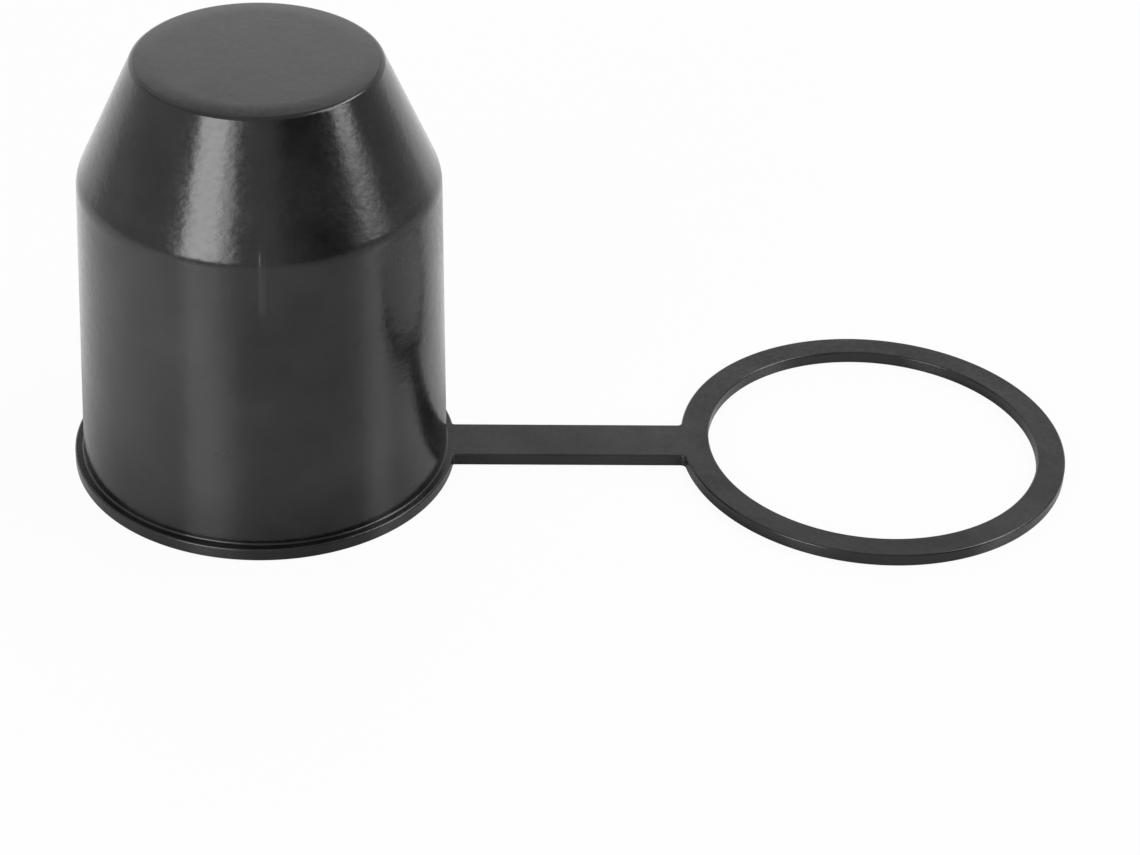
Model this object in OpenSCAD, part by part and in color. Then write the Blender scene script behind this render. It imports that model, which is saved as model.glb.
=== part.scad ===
// Tow ball cover: a soft moulded cap that slips over a 50 mm towing ball, with a flat strap
// and a retaining ring moulded on its lip, all in one piece.
// Frame: the origin is the centre of the ball when the cover is on it, Z is the axis of the cap
// and points up, and the strap and the ring run out along +X. Millimetres and degrees.

/* [Ball socket] */
// Diameter of the towing ball
ball_d = 50; // [46:0.1:52]
// Gap all round between the ball and the seat
ball_gap = 0.2; // [0.1:0.05:0.5]
// Length of the straight seat round the ball
seat_l = 12; // [8:0.5:24]

/* [Cap] */
// Height of the cap over all
cap_h = 70; // [66:0.5:80]
// Height of the shoulder, where the drafted wall turns into the cone
shoulder_h = 50.5; // [46:0.1:56]
// Diameter of the flat top
top_d = 37.4; // [30:0.2:42]
// Thickness of the side wall
wall_t = 2.3; // [1.6:0.1:3.2]
// Thickness of the roof
roof_t = 2.5; // [1.5:0.1:4]
// Draft of the outside wall, which widens towards the mouth
draft_a = 1.6; // [0.5:0.1:2.5]
// Rounding of the outside of the shoulder
shoulder_round = 5.5; // [3.5:0.5:12]
// Rounding of the edge round the flat top
top_round = 1; // [0.4:0.1:2]
// Rounding inside the cap, between the cone and the roof
roof_fillet = 2; // [0.5:0.1:4]

/* [Lip] */
// How far the lip stands out from the wall
lip_w = 1.3; // [1.2:0.1:4]
// Thickness of the lip
lip_t = 2.1; // [1.4:0.1:4]
// Fillet between the wall and the top of the lip
lip_fillet = 0.3; // [0.2:0.1:0.9]
// Rounding of the edges of the lip, the mouth, the strap and the ring
edge_round = 0.3; // [0.1:0.05:0.45]

/* [Strap and ring] */
// Free length of the strap, from the lip to the ring
strap_l = 36.5; // [15:0.1:70]
// Width of the strap
strap_w = 8.8; // [5:0.1:14]
// Thickness of the strap and the ring
strap_t = 2.1; // [1.2:0.1:3.5]
// Inside diameter of the ring
ring_bore_d = 53.2; // [44:0.1:60]
// Width of the band of the ring
ring_w = 4.5; // [3:0.1:8]
// Fillet in the corners where the strap meets the lip
lip_corner = 0.4; // [0.2:0.1:3]
// Fillet in the corners where the strap meets the ring
ring_corner = 0.8; // [0.2:0.1:3]

/* [Hidden] */
$fn = 96;
// Straight pieces in the arc of each rounded corner of an outline
arc_steps = 6;

bore_r = ball_d / 2 + ball_gap;
shoulder_r = bore_r + wall_t;
wall_base_r = shoulder_r + shoulder_h * tan(draft_a);
wall_at_lip_r = shoulder_r + (shoulder_h - lip_t) * tan(draft_a);
lip_r = wall_base_r + lip_w;
top_r = top_d / 2;

// Heights in this section are above the underside. The inside follows the outside, one wall in,
// and the top of the ball touches the roof.
cone_a = atan((shoulder_r - top_r) / (cap_h - shoulder_h));
roof_z = cap_h - roof_t;
ball_z = roof_z - ball_d / 2;
roof_r = shoulder_r - wall_t / cos(cone_a) - (roof_z - shoulder_h) * tan(cone_a);
inner_shoulder_z = shoulder_h - wall_t * tan(cone_a / 2);
inner_shoulder_round = shoulder_round - wall_t;
seat_top_z = inner_shoulder_z - inner_shoulder_round * tan(cone_a / 2);
seat_low_z = seat_top_z - seat_l;
mouth_r = wall_base_r - wall_t;

ring_bore_r = ring_bore_d / 2;
ring_r = ring_bore_r + ring_w;
ring_x = lip_r + strap_l + ring_r;
// The ends of the strap lie halfway into the lip and halfway into the band of the ring
lip_seat_r = (mouth_r + lip_r) / 2;
ring_seat_r = (ring_bore_r + ring_r) / 2;
strap_start_x = lip_seat_r;
strap_end_x = ring_x - ring_seat_r;

function unit(v) = v / norm(v);
function turned(v, a) = [v[0] * cos(a) - v[1] * sin(a), v[0] * sin(a) + v[1] * cos(a)];

// The arc that rounds the corner at, between the corners before and after it.
// A corner is [x, y] where it is sharp, and [x, y, radius] where it is rounded.
function corner_arc(before, at, after) =
    let (
        tip = [at[0], at[1]],
        radius = len(at) > 2 ? at[2] : 0,
        back = unit([before[0], before[1]] - tip),
        on = unit([after[0], after[1]] - tip),
        half = acos(back * on) / 2,
        side = sign(back[0] * on[1] - back[1] * on[0]),
        centre = tip + unit(back + on) * radius / sin(half),
        spoke = tip + back * radius / tan(half) - centre,
        sweep = side * (180 - 2 * half)
    )
    radius == 0 ? [tip] : [
        for (i = [0 : arc_steps]) centre + turned(spoke, -sweep * i / arc_steps)
    ];

// A closed outline through the corners, with each one rounded as it asks
function rounded(corners) =
    let (n = len(corners))
    [for (i = [0 : n - 1]) each corner_arc(corners[(i + n - 1) % n], corners[i], corners[(i + 1) % n])];

// Half section of the cap: up the inside from the mouth, across the roof, and down the outside
module cap() {
    rotate_extrude()
        polygon(rounded([
            [mouth_r, 0, edge_round],
            [bore_r, seat_low_z],
            [bore_r, inner_shoulder_z, inner_shoulder_round],
            [roof_r, roof_z, roof_fillet],
            [0, roof_z],
            [0, cap_h],
            [top_r, cap_h, top_round],
            [shoulder_r, shoulder_h, shoulder_round],
            [wall_at_lip_r, lip_t, lip_fillet],
            [lip_r, lip_t, edge_round],
            [lip_r, 0, edge_round]
        ]));
}

// Section of a flat band from x0 to x1, standing on the X axis
module band_section(x0, x1) {
    polygon(rounded([
        [x0, 0, edge_round],
        [x1, 0, edge_round],
        [x1, strap_t, edge_round],
        [x0, strap_t, edge_round]
    ]));
}

module ring() {
    translate([ring_x, 0, 0])
        rotate_extrude()
            band_section(ring_bore_r, ring_r);
}

module strap() {
    translate([strap_start_x, 0, 0])
        rotate([90, 0, 90])
            linear_extrude(strap_end_x - strap_start_x)
                band_section(-strap_w / 2, strap_w / 2);
}

// Webs that fill the two corners between a disc of radius disc_r round the Z axis and a strap
// that leaves it along +X from radius seat_r
module corner_webs(disc_r, seat_r, fillet) {
    centre_y = strap_w / 2 + fillet;
    centre_x = sqrt(pow(disc_r + fillet, 2) - pow(centre_y, 2));
    sweep = atan2(centre_x, centre_y);
    arc = [
        for (i = [0 : arc_steps])
            [centre_x, centre_y] + fillet * turned([0, -1], -sweep * i / arc_steps)
    ];
    for (side = [0, 1])
        mirror([0, side, 0])
            translate([0, 0, edge_round])
                linear_extrude(strap_t - 2 * edge_round)
                    polygon(concat(arc, [[seat_r, strap_w / 4], [centre_x, strap_w / 4]]));
}

module tow_ball_cover() {
    color([0.16, 0.16, 0.17])
        translate([0, 0, -ball_z]) {
            cap();
            ring();
            strap();
            corner_webs(lip_r, lip_seat_r, lip_corner);
            translate([ring_x, 0, 0])
                mirror([1, 0, 0])
                    corner_webs(ring_r, ring_seat_r, ring_corner);
        }
}

tow_ball_cover();
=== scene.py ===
"""Tow ball cover: the moulded piece, its rubber, the studio and the camera.

Millimetres in the size table, metres in Blender. The frame is the CAD part's own: the origin is
the centre of the ball, Z is the axis of the cap, and the strap and the ring run out along +X.
"""
from math import acos, asin, atan2, cos, hypot, pi, radians, sin, tan

import bpy
from mathutils import Matrix, Vector


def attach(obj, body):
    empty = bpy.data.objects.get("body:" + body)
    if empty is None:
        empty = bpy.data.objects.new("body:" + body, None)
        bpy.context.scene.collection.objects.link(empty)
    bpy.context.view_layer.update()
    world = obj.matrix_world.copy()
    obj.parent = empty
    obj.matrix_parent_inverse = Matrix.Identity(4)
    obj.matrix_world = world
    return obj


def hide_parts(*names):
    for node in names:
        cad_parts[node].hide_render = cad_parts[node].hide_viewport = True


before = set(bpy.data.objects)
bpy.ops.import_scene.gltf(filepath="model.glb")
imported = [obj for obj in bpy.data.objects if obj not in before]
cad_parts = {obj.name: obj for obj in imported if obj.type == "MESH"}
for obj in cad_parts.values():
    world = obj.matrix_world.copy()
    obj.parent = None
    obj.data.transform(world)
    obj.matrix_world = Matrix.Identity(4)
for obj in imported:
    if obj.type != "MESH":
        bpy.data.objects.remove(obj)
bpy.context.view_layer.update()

MM = 0.001
UP = Vector((0, 0, 1))
WHITE, BLACK = (1, 1, 1, 1), (0, 0, 0, 1)

# Driving sizes in millimetres, those of the part's source; heights are above the underside
BALL_R, BALL_GAP, SEAT_L = 25.0, 0.2, 12.0
CAP_H, SHOULDER_Z, TOP_R = 70.0, 50.5, 18.7
WALL_T, ROOF_T, DRAFT = 2.3, 2.5, radians(1.6)
SHOULDER_ROUND, TOP_ROUND, ROOF_FILLET = 5.5, 1.0, 2.0
LIP_W, LIP_T, LIP_FILLET = 1.3, 2.1, 0.3
EDGE_ROUND = 0.3
STRAP_L, STRAP_HALF_W = 36.5, 4.4
RING_BORE_R, RING_W = 26.6, 4.5
LIP_CORNER, RING_CORNER = 0.4, 0.8

# Outside the radius CROWN_R the flat top falls by the angle CROWN_TILT, with a broad rounding
CROWN_R, CROWN_TILT, CROWN_ROUND = 16.4, radians(3), 62.0

# Sizes that follow from the driving ones: the inside runs one wall in from the outside, and the
# top of the ball touches the roof
BORE_R = BALL_R + BALL_GAP
SHOULDER_R = BORE_R + WALL_T
WALL_BASE_R = SHOULDER_R + SHOULDER_Z * tan(DRAFT)
WALL_AT_LIP_R = SHOULDER_R + (SHOULDER_Z - LIP_T) * tan(DRAFT)
LIP_R = WALL_BASE_R + LIP_W
MOUTH_R = WALL_BASE_R - WALL_T
ROOF_Z = CAP_H - ROOF_T
BALL_Z = ROOF_Z - BALL_R
CONE_SLOPE = atan2(SHOULDER_R - TOP_R, CAP_H - SHOULDER_Z)
ROOF_R = SHOULDER_R - WALL_T / cos(CONE_SLOPE) - (ROOF_Z - SHOULDER_Z) * tan(CONE_SLOPE)
INNER_SHOULDER_Z = SHOULDER_Z - WALL_T * tan(CONE_SLOPE / 2)
INNER_SHOULDER_ROUND = SHOULDER_ROUND - WALL_T
SEAT_LOW_Z = INNER_SHOULDER_Z - INNER_SHOULDER_ROUND * tan(CONE_SLOPE / 2) - SEAT_L
RING_R = RING_BORE_R + RING_W
RING_X = LIP_R + STRAP_L + RING_R

# Mould seam: a fine raised line over the shoulder, at the front and at the back
SEAM_ANGLES = (radians(-87.3), radians(92.7))
SEAM_HALF_W, SEAM_H = 0.4, 0.045
SEAM_TOP_Z, SEAM_PEAK_Z, SEAM_LOW_Z = 54.0, 51.0, 41.0
# The share of its height that the seam has along the lower wall
SEAM_LOW_SHARE = 0.7

# How finely the skin is divided
ROUND_STEP = radians(1.25)
STRAP_COLUMNS = 14
STRAP_ROW, WALL_ROW = 1.2, 2.0
FINE_STEPS, BROAD_STEPS = 6, 10

# Camera, fitted to the photograph; the focal length is a share of the picture's width
CAMERA_AZIMUTH, CAMERA_ELEVATION, CAMERA_ROLL = radians(-94.1084), radians(34.0155), radians(2.6163)
CAMERA_DISTANCE = 474.156
CAMERA_AIM_RIGHT, CAMERA_AIM_UP = 48.703, 3.384
FOCAL_SHARE = 2954.639 / 1140
SENSOR_WIDTH = 36.0
CAMERA_CLIP = (0.01, 10.0)

# Rubber: base colours of its dark and pale patches and of the painted highlight along the mould
# seam, which fades out sideways over the reach that follows, in metres, the roughness of its
# flecks, and what wear adds to it
DARK_RUBBER, PALE_RUBBER = (0.002, 0.002, 0.0021, 1), (0.01, 0.01, 0.0105, 1)
SEAM_HIGHLIGHT_RUBBER, SEAM_HIGHLIGHT_REACH = (0.019, 0.019, 0.0195, 1), (0.0002, 0.0008)
SMOOTH_FLECKS, ROUGH_FLECKS, WEAR = 0.16, 0.23, 0.08
RUBBER_IOR = 1.5
# Its relief in metres. Marks and flecks are a little finer upwards than across
WAVE_DEPTH, MARK_DEPTH, FLECK_DEPTH, GRAIN_DEPTH = 0.00003, 0.000028, 0.000017, 0.000002
FLECK_SCALE = (1, 1, 1.2)
# Between these heights in millimetres the relief fades to the share that the flat top has
TOP_FADE_Z, TOP_RELIEF = (CAP_H - 0.5, CAP_H - 0.15), 0.3

# Floor, in metres
FLOOR_HALF, FLOOR_GAP = 0.7, 0.00002
PAPER, PAPER_ROUGHNESS, PAPER_IOR = (0.65, 0.65, 0.65, 1), 0.27, 1.9
# How far the paper is lifted to plain white for the camera
PAPER_LIFT = 0.95
# In reflections the paper glows towards GLOW_AZIMUTH, less so near the foot of the cap, and is
# shaded at the foot. The reaches are metres along that way, and from the point under the ball
GLOW_AZIMUTH, GLOW, GLOW_REACH = radians(-135), 0.49, (-0.06, 0.005)
FOOT_GLOW, FOOT_GLOW_REACH = 0.55, (0.03, 0.08)
FOOT_SHADE, FOOT_SHADE_REACH = 0.65, (0.028, 0.05)

# Room: its brightness at the right and the left, and the factors for the back, for what is above
# BAND_EDGE, and for what is above OVERHEAD_EDGE. The edges are sines of the elevation, and what
# lies between them is a dim band
ROOM_RIGHT, ROOM_LEFT, ROOM_BACK = 0.42, 0.7, 2.0
BAND, BAND_EDGE = 0.46, (0.45, 0.53)
OVERHEAD, OVERHEAD_EDGE = 2.05, (0.555, 0.6)
# Dim patches: azimuth, elevation, reach and core in degrees, and the share of light left. They
# are what the right of the cone, the left of the lip and the ring reflect
DIM_PATCHES = (
    (43, 10, 28, 16, 0.22),
    (-164, 40, 14, 7, 0.35),
    (172, 32, 9, 5, 0.72),
)


# Sections and outlines

def unit(x, y):
    length = hypot(x, y)
    return x / length, y / length


def polar(radius, angle):
    return radius * cos(angle), radius * sin(angle)


def smooth_step(t):
    t = min(1.0, max(0.0, t))
    return t * t * (3 - 2 * t)


def corner_arc(before, at, after, radius, steps):
    """The rounded corner of a section, as (x, z, normal x, normal z)."""
    back = unit(before[0] - at[0], before[1] - at[1])
    on = unit(after[0] - at[0], after[1] - at[1])
    half = acos(back[0] * on[0] + back[1] * on[1]) / 2
    side = 1 if back[0] * on[1] > back[1] * on[0] else -1
    middle = unit(back[0] + on[0], back[1] + on[1])
    centre = [at[k] + middle[k] * radius / sin(half) for k in (0, 1)]
    spoke = [at[k] + back[k] * radius / tan(half) - centre[k] for k in (0, 1)]
    start, sweep = atan2(spoke[1], spoke[0]), side * (pi - 2 * half)
    arc = []
    for i in range(steps + 1):
        x, z = polar(1.0, start - sweep * i / steps)
        arc.append((centre[0] + radius * x, centre[1] + radius * z, side * x, side * z))
    return arc


def straight(start, end, spacing):
    """Points from start to end, both left out. The normal points to the left of the way."""
    dx, dz = end[0] - start[0], end[1] - start[1]
    count = max(1, round(hypot(dx, dz) / spacing))
    nx, nz = unit(-dz, dx)
    return [(start[0] + dx * i / count, start[1] + dz * i / count, nx, nz)
            for i in range(1, count)]


def outside_section():
    """The outside of the cap, from the middle of its flat top down to the top of the lip."""
    middle, knee = (0.0, CAP_H), (CROWN_R, CAP_H)
    top_edge = (TOP_R, CAP_H - (TOP_R - CROWN_R) * tan(CROWN_TILT))
    shoulder, base, lip = (SHOULDER_R, SHOULDER_Z), (WALL_AT_LIP_R, LIP_T), (LIP_R, LIP_T)
    crown = corner_arc(middle, knee, top_edge, CROWN_ROUND, BROAD_STEPS)
    edge = corner_arc(knee, top_edge, shoulder, TOP_ROUND, FINE_STEPS)
    turn = corner_arc(top_edge, shoulder, base, SHOULDER_ROUND, BROAD_STEPS)
    fillet = corner_arc(shoulder, base, lip, LIP_FILLET, FINE_STEPS)
    return ([(*middle, 0.0, 1.0)] + straight(middle, crown[0], WALL_ROW) + crown + edge
            + straight(edge[-1], turn[0], WALL_ROW) + turn
            + straight(turn[-1], fillet[0], WALL_ROW) + fillet)


def inside_section():
    """The inside of the cap, from the rim of its mouth up to the middle of the roof."""
    lip, mouth = (LIP_R, 0.0), (MOUTH_R, 0.0)
    seat, shoulder = (BORE_R, SEAT_LOW_Z), (BORE_R, INNER_SHOULDER_Z)
    roof_edge, middle = (ROOF_R, ROOF_Z), (0.0, ROOF_Z)
    rim = corner_arc(lip, mouth, seat, EDGE_ROUND, FINE_STEPS)
    turn = corner_arc(seat, shoulder, roof_edge, INNER_SHOULDER_ROUND, BROAD_STEPS)
    fillet = corner_arc(shoulder, roof_edge, middle, ROOF_FILLET, FINE_STEPS)
    return (rim + straight(rim[-1], seat, WALL_ROW) + [(*seat, -1.0, 0.0)]
            + straight(seat, turn[0], WALL_ROW) + turn
            + straight(turn[-1], fillet[0], WALL_ROW) + fillet
            + straight(fillet[-1], middle, WALL_ROW) + [(*middle, 0.0, -1.0)])


def rim_section():
    """The rim of the flat parts from the underside up: (inset, height, outward, upward)."""
    turns = [pi / 2 * i / FINE_STEPS for i in range(FINE_STEPS + 1)]
    low = [(EDGE_ROUND * (1 - sin(t)), EDGE_ROUND * (1 - cos(t)), sin(t), -cos(t)) for t in turns]
    return low + [(inset, LIP_T - z, out, -up) for inset, z, out, up in reversed(low)]


def join_angle(disc_r, corner):
    """Half the angle, seen from the disc's centre, that the strap and its corners take up."""
    return asin((STRAP_HALF_W + corner) / (disc_r + corner))


def corner_outline(disc_r, corner):
    """From the disc to the strap's -Y edge, as (x, y, outward x, outward y)."""
    join = join_angle(disc_r, corner)
    x, y = polar(disc_r + corner, -join)
    turns = [pi - join - (pi / 2 - join) * i / FINE_STEPS for i in range(FINE_STEPS + 1)]
    return [(x + corner * cos(t), y + corner * sin(t), -cos(t), -sin(t)) for t in turns]


def strap_edge():
    """The -Y edge of the strap with its two corners, from the lip to the ring."""
    lip = corner_outline(LIP_R, LIP_CORNER)
    ring = [(RING_X - x, y, -nx, ny) for x, y, nx, ny in corner_outline(RING_R, RING_CORNER)]
    ring.reverse()
    return lip + straight_edge(lip[-1], ring[0]) + ring


def straight_edge(start, end):
    count = round((end[0] - start[0]) / STRAP_ROW)
    return [(start[0] + (end[0] - start[0]) * i / count, -STRAP_HALF_W, 0.0, -1.0)
            for i in range(1, count)]


def round_angles(start, end, kept=()):
    """Even angles from start to end, both left out, which make way for the kept ones."""
    count = round((end - start) / ROUND_STEP)
    even = [start + (end - start) * i / count for i in range(1, count)]
    free = [a for a in even if all(abs(a - k) > ROUND_STEP / 2 for k in kept)]
    return sorted(free + list(kept))


def across_angles(join):
    return [join * (2 * i / STRAP_COLUMNS - 1) for i in range(STRAP_COLUMNS + 1)]


# The mould seam

def seam_columns():
    """The angles of the columns of vertices that carry the two seam lines."""
    step = SEAM_HALF_W / SHOULDER_R / 2
    return [(angle + step * k) % (2 * pi) for angle in SEAM_ANGLES for k in range(-2, 3)]


def seam_height(z):
    """The seam fades out upwards on the cone, and in two steps downwards on the wall."""
    if z > SEAM_PEAK_Z:
        return SEAM_H * smooth_step((SEAM_TOP_Z - z) / (SEAM_TOP_Z - SEAM_PEAK_Z))
    share = (z - SEAM_LOW_Z) / (SEAM_PEAK_Z - SEAM_LOW_Z)
    low_part, high_part = smooth_step(3 * share), smooth_step(2 * share - 1)
    return SEAM_H * (SEAM_LOW_SHARE * low_part + (1 - SEAM_LOW_SHARE) * high_part)


def seam_lift(angle, z):
    """How far the seam stands out there, and its slope along the circle."""
    for centre in SEAM_ANGLES:
        s = ((angle - centre + pi) % (2 * pi) - pi) * SHOULDER_R
        if abs(s) < SEAM_HALF_W:
            phase, height = pi * s / SEAM_HALF_W, seam_height(z)
            return height * (1 + cos(phase)) / 2, -height * pi / SEAM_HALF_W * sin(phase) / 2
    return 0.0, 0.0


# The skin of the piece

class Skin:
    """The vertices, their exact normals and the faces of one closed surface."""

    def __init__(self):
        self.points, self.normals, self.faces = [], [], []

    def add(self, points, normals):
        start = len(self.points)
        self.points += points
        self.normals += normals
        return list(range(start, len(self.points)))

    def bridge(self, one, two, closed=True):
        """Quads from one row of vertices to the next, as long as it."""
        for i in range(len(one) if closed else len(one) - 1):
            j = (i + 1) % len(one)
            self.faces.append((one[i], one[j], two[j], two[i]))

    def fan(self, centre, loop):
        for i, vertex in enumerate(loop):
            self.faces.append((centre, vertex, loop[(i + 1) % len(loop)]))


def turned_loop(skin, point, angles, with_seam):
    """One point of a section turned round the Z axis."""
    r, z, out, up = point
    points, normals = [], []
    for angle in angles:
        lift, slope = seam_lift(angle, z) if with_seam else (0.0, 0.0)
        x, y = polar(r + lift * out, angle)
        points.append((x, y, z + lift * up))
        normal = Vector((out * cos(angle) + slope * sin(angle),
                         out * sin(angle) - slope * cos(angle), up))
        normals.append(normal.normalized())
    return skin.add(points, normals)


def revolve(skin, section, angles, with_seam=False):
    """A section turned round the Z axis, closed by a fan where it meets the axis."""
    loops = []
    for point in section:
        if point[0] == 0:
            loops.append(skin.add([(0.0, 0.0, point[1])], [Vector((0, 0, point[3]))]))
        else:
            loops.append(turned_loop(skin, point, angles, with_seam))
    for one, two in zip(loops, loops[1:]):
        if len(one) == 1:
            skin.fan(one[0], two)
        elif len(two) == 1:
            skin.fan(two[0], one[::-1])
        else:
            skin.bridge(two, one)
    return loops


class FlatParts:
    """The lip's rim, the strap and the ring: one plan outline with a rounded rim, and two faces."""

    def __init__(self):
        self.edge = strap_edge()
        self.lip_join = join_angle(LIP_R, LIP_CORNER)
        self.ring_join = join_angle(RING_R, RING_CORNER)
        self.lip_rest = round_angles(self.lip_join, 2 * pi - self.lip_join, seam_columns())
        self.ring_rest = round_angles(self.ring_join - pi, pi - self.ring_join)
        self.lip_angles = across_angles(self.lip_join) + self.lip_rest

    def outline(self):
        """All round the rim, counterclockwise: strap, ring, strap, lip."""
        ring = [(RING_X + RING_R * cos(a), RING_R * sin(a), cos(a), sin(a)) for a in self.ring_rest]
        lip = [(LIP_R * cos(a), LIP_R * sin(a), cos(a), sin(a)) for a in self.lip_rest]
        back = [(x, -y, nx, -ny) for x, y, nx, ny in reversed(self.edge)]
        return self.edge + ring + back + lip

    def rim(self, skin):
        """The rim's loops; the first and the last are the outlines of the two faces."""
        outline, loops = self.outline(), []
        for inset, z, out, up in rim_section():
            points = [(x - nx * inset, y - ny * inset, z) for x, y, nx, ny in outline]
            normals = [Vector((nx * out, ny * out, up)) for x, y, nx, ny in outline]
            loops.append(skin.add(points, normals))
        for low, high in zip(loops, loops[1:]):
            skin.bridge(low, high)
        return loops[0], loops[-1]

    def face(self, skin, rim, z, up):
        """One flat face inside the rim's loop. Returns its lip loop and its ring loop."""
        normal = Vector((0, 0, 1 if up else -1))
        long, ring_count = len(self.edge), len(self.ring_rest)
        near = rim[:long]
        ring_part = rim[long:long + ring_count]
        far = rim[long + ring_count:2 * long + ring_count][::-1]
        lip_part = rim[2 * long + ring_count:]
        share = [sin(a) / sin(self.lip_join) for a in across_angles(self.lip_join)[1:-1]]
        rows = []
        for i, (low, high) in enumerate(zip(near, far)):
            x_edge, y_edge, _ = skin.points[high]
            points = [(x_edge + self.bulge(i, s), y_edge * s, z) for s in share]
            rows.append([low] + skin.add(points, [normal] * len(points)) + [high])
        for one, two in zip(rows, rows[1:]):
            skin.bridge(*((two, one) if up else (one, two)), closed=False)
        return rows[0] + lip_part, [near[-1]] + ring_part + rows[-1][:0:-1]

    def bulge(self, row, share):
        """How far a row of the strap bows towards the ring, where it leaves a round edge."""
        x = self.edge[row][0]
        bow = 0.0
        for x_join, radius, join, way in (
                (self.edge[0][0], LIP_R - EDGE_ROUND, self.lip_join, 1),
                (self.edge[-1][0], RING_R - EDGE_ROUND, self.ring_join, -1)):
            depth = radius * ((1 - (share * sin(join)) ** 2) ** 0.5 - cos(join))
            bow += way * depth * (1 - smooth_step(abs(x - x_join) / (2 * STRAP_HALF_W)))
        return bow

    def bore(self, skin, low_ring, high_ring):
        """The inside of the ring, between the ring loops of the two faces."""
        angles = [self.ring_join - pi] + self.ring_rest + across_ring(self.ring_join)
        loops = []
        for inset, z, out, up in rim_section():
            r = RING_BORE_R + inset
            points = [(RING_X + r * cos(a), r * sin(a), z) for a in angles]
            loops.append(skin.add(points, [Vector((-cos(a) * out, -sin(a) * out, up))
                                           for a in angles]))
        skin.bridge(loops[0], low_ring)
        for low, high in zip(loops, loops[1:]):
            skin.bridge(high, low)
        skin.bridge(high_ring, loops[-1])


def across_ring(join):
    """The angles round the ring, across the strap, from its +Y corner on to its -Y corner."""
    return [pi - a for a in across_angles(join)[::-1]][:-1]


def build_skin():
    skin, flat = Skin(), FlatParts()
    low_rim, high_rim = flat.rim(skin)
    low_lip, low_ring = flat.face(skin, low_rim, 0.0, up=False)
    high_lip, high_ring = flat.face(skin, high_rim, LIP_T, up=True)
    flat.bore(skin, low_ring, high_ring)
    outside = revolve(skin, outside_section(), flat.lip_angles, with_seam=True)
    inside = revolve(skin, inside_section(), flat.lip_angles)
    skin.bridge(high_lip, outside[-1])
    skin.bridge(inside[0], low_lip)
    return skin


def make_cover():
    """The whole piece as one closed mesh, in place of the CAD solid."""
    skin = build_skin()
    mesh = bpy.data.meshes.new("cover_skin")
    place = Matrix.Scale(MM, 4) @ Matrix.Translation((0, 0, -BALL_Z))
    mesh.from_pydata([place @ Vector(p) for p in skin.points], [], skin.faces)
    mesh.polygons.foreach_set("use_smooth", [True] * len(mesh.polygons))
    mesh.normals_split_custom_set_from_vertices(skin.normals)
    cover = bpy.data.objects.new("cover_skin", mesh)
    bpy.context.scene.collection.objects.link(cover)
    return cover


# Materials

class Nodes:
    """A node tree with short calls to add and join its nodes."""

    # The colour sockets of a Mix node, which share their names with its other kinds
    COLOUR_ONE, COLOUR_TWO, COLOUR_RESULT = 6, 7, 2

    def __init__(self, tree):
        self.tree = tree
        tree.nodes.clear()

    def add(self, kind, *inputs, **settings):
        """A node with its settings; inputs are (socket, value or another node's output)."""
        node = self.tree.nodes.new(kind)
        for name, value in settings.items():
            setattr(node, name, value)
        for socket, value in inputs:
            if isinstance(value, bpy.types.NodeSocket):
                self.tree.links.new(value, node.inputs[socket])
            else:
                node.inputs[socket].default_value = value
        return node

    def noise(self, where, scale, detail, roughness=0.5):
        node = self.add("ShaderNodeTexNoise", ("Vector", where), ("Scale", scale),
                        ("Detail", detail), ("Roughness", roughness))
        return node.outputs["Fac"]

    def spread(self, value, source, target, smooth=False):
        """value mapped from the range source to the range target, and held at its ends."""
        node = self.add("ShaderNodeMapRange", ("Value", value),
                        ("From Min", source[0]), ("From Max", source[1]),
                        ("To Min", target[0]), ("To Max", target[1]),
                        interpolation_type="SMOOTHSTEP" if smooth else "LINEAR")
        return node.outputs["Result"]

    def maths(self, operation, *values):
        return self.add("ShaderNodeMath", *enumerate(values), operation=operation).outputs[0]

    def times(self, one, two):
        return self.maths("MULTIPLY", one, two)

    def vector_maths(self, operation, one, two):
        node = self.add("ShaderNodeVectorMath", (0, one), (1, two), operation=operation)
        return node.outputs["Value"]

    def dot(self, one, two):
        return self.vector_maths("DOT_PRODUCT", one, two)

    def mix_colour(self, share, one, two):
        """The colour one where share is 0, and two where it is 1."""
        node = self.add("ShaderNodeMix", ("Factor", share), (self.COLOUR_ONE, one),
                        (self.COLOUR_TWO, two), data_type="RGBA")
        return node.outputs[self.COLOUR_RESULT]


def new_material(name):
    material = bpy.data.materials.new(name)
    material.use_nodes = True
    return material, Nodes(material.node_tree)


def seam_highlight(n, where):
    """1 along the mould seam, where a paler colour paints the highlight that its ridge catches, and
    0 beside it.
    """
    across = Vector((-sin(SEAM_ANGLES[0]), cos(SEAM_ANGLES[0]), 0))
    off = n.maths("ABSOLUTE", n.dot(where, across))
    low, peak, top = ((z - BALL_Z) * MM for z in (SEAM_LOW_Z, SEAM_PEAK_Z, SEAM_TOP_Z))
    height = n.dot(where, UP)
    rise = n.spread(height, (low, low + (peak - low) / 3), (0, 1), smooth=True)
    fall = n.spread(height, (peak, top), (1, 0), smooth=True)
    line = n.spread(off, SEAM_HIGHLIGHT_REACH, (1, 0), smooth=True)
    return n.times(line, n.times(rise, fall))


def relief(n, strength, *layers):
    """Bumps laid one on the other; each layer is its height and its depth in metres."""
    bump = None
    for height, depth in layers:
        inputs = [("Height", height), ("Distance", depth), ("Strength", strength)]
        if bump is not None:
            inputs.append(("Normal", bump))
        bump = n.add("ShaderNodeBump", *inputs).outputs["Normal"]
    return bump


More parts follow.
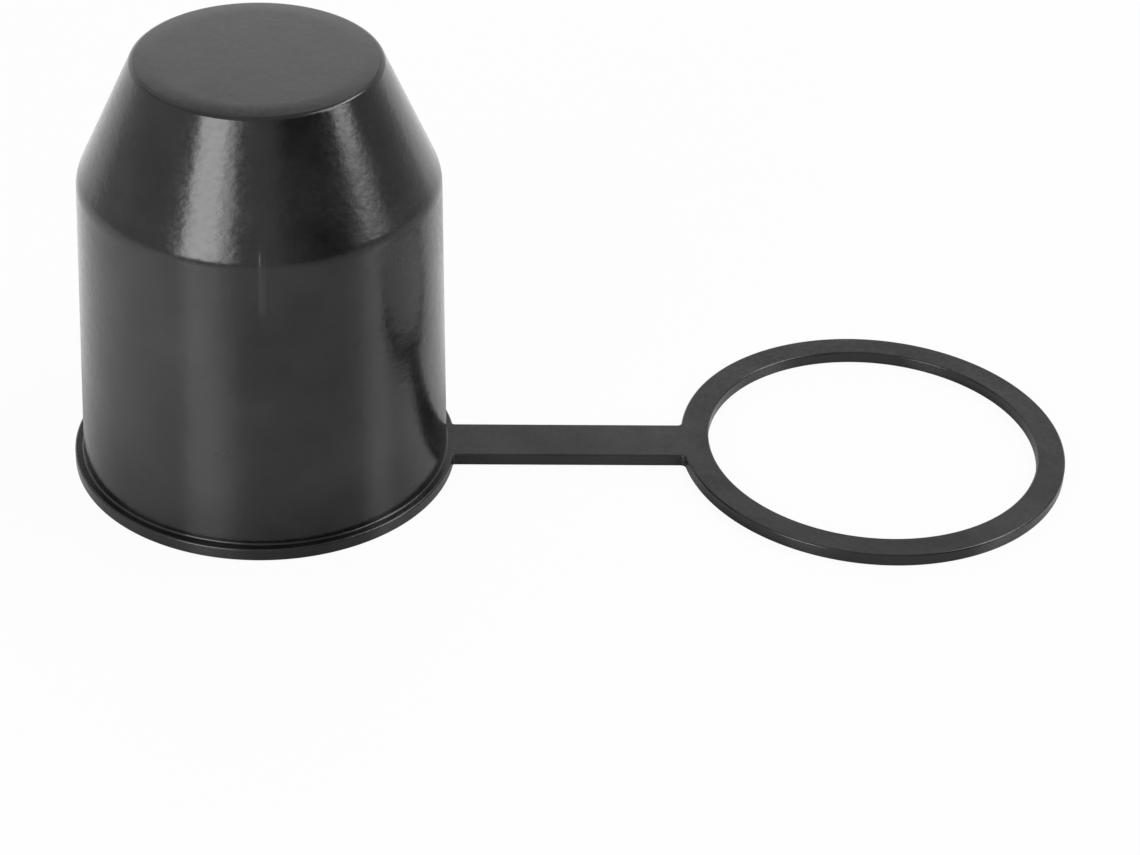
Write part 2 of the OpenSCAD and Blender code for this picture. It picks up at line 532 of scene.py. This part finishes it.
def rubber():
    """Black soft moulded rubber: satin, mottled, with fine flecks, faint marks and smudges."""
    material, n = new_material("black_rubber")
    where = n.add("ShaderNodeTexCoord").outputs["Object"]
    flat = n.add("ShaderNodeMapping", ("Vector", where), ("Scale", FLECK_SCALE)).outputs["Vector"]
    mottle = n.noise(where, scale=130, detail=4, roughness=0.6)
    smudges = n.noise(where, scale=55, detail=3, roughness=0.6)
    waves = n.noise(where, scale=260, detail=2)
    marks = n.noise(flat, scale=420, detail=2)
    flecks = n.noise(flat, scale=1150, detail=1)
    grain = n.noise(where, scale=5200, detail=2, roughness=0.6)

    patches = n.spread(n.maths("ADD", mottle, smudges), (0.75, 1.2), (0, 1))
    colour = n.mix_colour(patches, DARK_RUBBER, PALE_RUBBER)
    # Painted highlight: a paler colour along the mould seam stands in for the light its ridge
    # catches
    colour = n.mix_colour(seam_highlight(n, where), colour, SEAM_HIGHLIGHT_RUBBER)
    polish = n.spread(flecks, (0.3, 0.7), (SMOOTH_FLECKS, ROUGH_FLECKS))
    worn = n.spread(smudges, (0.45, 0.75), (0, WEAR), smooth=True)
    top_fade = [(z - BALL_Z) * MM for z in TOP_FADE_Z]
    strength = n.spread(n.dot(where, UP), top_fade, (1, TOP_RELIEF))
    bump = relief(n, strength, (waves, WAVE_DEPTH), (marks, MARK_DEPTH), (flecks, FLECK_DEPTH),
                  (grain, GRAIN_DEPTH))
    shader = n.add("ShaderNodeBsdfPrincipled", ("Base Color", colour),
                   ("Roughness", n.maths("ADD", polish, worn)), ("IOR", RUBBER_IOR),
                   ("Normal", bump))
    n.add("ShaderNodeOutputMaterial", ("Surface", shader.outputs[0]))
    return material


def floor_paper():
    """White paper that keeps a soft shadow and shows white to the camera.

    In the rubber's reflections it brightens towards the left and the back, and darkens round the
    foot of the cap. From below it isn't seen.
    """
    material, n = new_material("floor_paper")
    path = n.add("ShaderNodeLightPath").outputs
    place = n.add("ShaderNodeTexCoord").outputs["Object"]
    along = n.dot(place, towards(GLOW_AZIMUTH, 0.0))
    away = n.vector_maths("DISTANCE", place, (0, 0, -BALL_Z * MM))
    lit = n.times(n.spread(along, GLOW_REACH, (0, GLOW), smooth=True),
                  n.spread(away, FOOT_GLOW_REACH, (FOOT_GLOW, 1)))
    glow = n.times(lit, path["Is Glossy Ray"])
    shade = n.times(n.spread(away, FOOT_SHADE_REACH, (FOOT_SHADE, 0)), path["Is Glossy Ray"])
    paper = n.add("ShaderNodeBsdfPrincipled", ("Base Color", n.mix_colour(shade, PAPER, BLACK)),
                  ("Roughness", PAPER_ROUGHNESS), ("IOR", PAPER_IOR), ("Emission Color", WHITE),
                  ("Emission Strength", glow)).outputs[0]
    white = n.add("ShaderNodeEmission", ("Color", WHITE), ("Strength", 1.0)).outputs[0]
    lift = n.spread(path["Is Camera Ray"], (0, 1), (0, PAPER_LIFT))
    above = n.add("ShaderNodeMixShader", (0, lift), (1, paper), (2, white)).outputs[0]
    below = n.add("ShaderNodeBsdfTransparent").outputs[0]
    underside = n.add("ShaderNodeNewGeometry").outputs["Backfacing"]
    both = n.add("ShaderNodeMixShader", (0, underside), (1, above), (2, below))
    n.add("ShaderNodeOutputMaterial", ("Surface", both.outputs[0]))
    return material


# Studio

def towards(azimuth, elevation):
    """A unit vector; azimuth is from the camera's side, positive to its right."""
    angle = CAMERA_AZIMUTH + azimuth
    return Vector((cos(angle) * cos(elevation), sin(angle) * cos(elevation), sin(elevation)))


def softbox(name, azimuth, low, high, width, radiance, distance=0.75):
    """A lamp that fills width by low..high degrees of the view from the ball, at that radiance."""
    way = towards(radians(azimuth), radians((low + high) / 2))
    data = bpy.data.lights.new(name, "AREA")
    data.shape = "RECTANGLE"
    data.size = 2 * distance * tan(radians(width / 2))
    data.size_y = 2 * distance * tan(radians((high - low) / 2))
    data.energy = radiance * pi * data.size * data.size_y
    lamp = bpy.data.objects.new(name, data)
    lamp.location = way * distance
    lamp.rotation_mode = "QUATERNION"
    lamp.rotation_quaternion = way.to_track_quat("Z", "Y")
    lamp.visible_camera = False
    bpy.context.scene.collection.objects.link(lamp)


def make_floor():
    mesh = bpy.data.meshes.new("floor")
    half, z = FLOOR_HALF, -BALL_Z * MM - FLOOR_GAP
    mesh.from_pydata([(-half, -half, z), (half, -half, z), (half, half, z), (-half, half, z)],
                     [], [(0, 1, 2, 3)])
    floor = bpy.data.objects.new("floor", mesh)
    floor.data.materials.append(floor_paper())
    bpy.context.scene.collection.objects.link(floor)


def make_world():
    """A room with a brighter left and back, a dim band and dim patches; white to the camera."""
    world = bpy.data.worlds.new("studio")
    bpy.context.scene.world = world
    world.use_nodes = True
    n = Nodes(world.node_tree)
    way = n.add("ShaderNodeTexCoord").outputs["Generated"]
    height = n.dot(way, UP)
    leftward = n.dot(way, towards(radians(-90), 0.0))
    backward = n.dot(way, towards(pi, radians(5)))

    side = n.spread(leftward, (-0.9, 0.3), (ROOM_RIGHT, ROOM_LEFT), smooth=True)
    back = n.spread(backward, (0.3, 0.9), (1, ROOM_BACK), smooth=True)
    band = n.spread(height, BAND_EDGE, (1, BAND), smooth=True)
    overhead = n.spread(height, OVERHEAD_EDGE, (1, OVERHEAD), smooth=True)
    room = n.times(n.times(side, back), n.times(band, overhead))
    for azimuth, elevation, reach, core, level in DIM_PATCHES:
        near = n.dot(way, towards(radians(azimuth), radians(elevation)))
        edge = (cos(radians(reach)), cos(radians(core)))
        room = n.times(room, n.spread(near, edge, (1, level), smooth=True))
    camera = n.add("ShaderNodeLightPath").outputs["Is Camera Ray"]
    strength = n.add("ShaderNodeMix", ("Factor", camera), ("A", room), ("B", 1.0)).outputs[0]
    sky = n.add("ShaderNodeBackground", ("Color", WHITE), ("Strength", strength))
    n.add("ShaderNodeOutputWorld", ("Surface", sky.outputs[0]))


def make_studio():
    make_world()
    make_floor()
    softbox("left_box", azimuth=-30, low=2, high=32, width=20, radiance=7.4, distance=0.36)
    softbox("left_box_fall", azimuth=-15.5, low=2, high=32, width=9, radiance=3.6, distance=0.36)
    softbox("right_box", azimuth=80, low=10, high=58, width=16, radiance=4.9)
    softbox("edge_box", azimuth=110, low=38, high=52, width=26, radiance=7.0)


def make_camera():
    """The photograph's camera, from its direction, distance and roll; the aim is off the cap."""
    back = towards(0, CAMERA_ELEVATION)
    level = UP.cross(back).normalized()
    rise = back.cross(level)
    right = cos(CAMERA_ROLL) * level + sin(CAMERA_ROLL) * rise
    up = cos(CAMERA_ROLL) * rise - sin(CAMERA_ROLL) * level
    base = Vector((0, 0, -BALL_Z))
    spot = base + right * CAMERA_AIM_RIGHT + up * CAMERA_AIM_UP + back * CAMERA_DISTANCE
    data = bpy.data.cameras.new("camera")
    data.sensor_width = SENSOR_WIDTH
    data.lens = FOCAL_SHARE * SENSOR_WIDTH
    data.clip_start, data.clip_end = CAMERA_CLIP
    camera = bpy.data.objects.new("camera", data)
    axes = Matrix((right, up, back)).transposed().to_4x4()
    camera.matrix_world = Matrix.Translation(spot * MM) @ axes
    bpy.context.scene.collection.objects.link(camera)
    bpy.context.scene.camera = camera


# The scene

cover = make_cover()
cover.data.materials.append(rubber())
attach(cover, "root")
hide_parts("tow_ball_cover")
make_studio()
make_camera()
bpy.context.scene.view_settings.view_transform = "Standard"
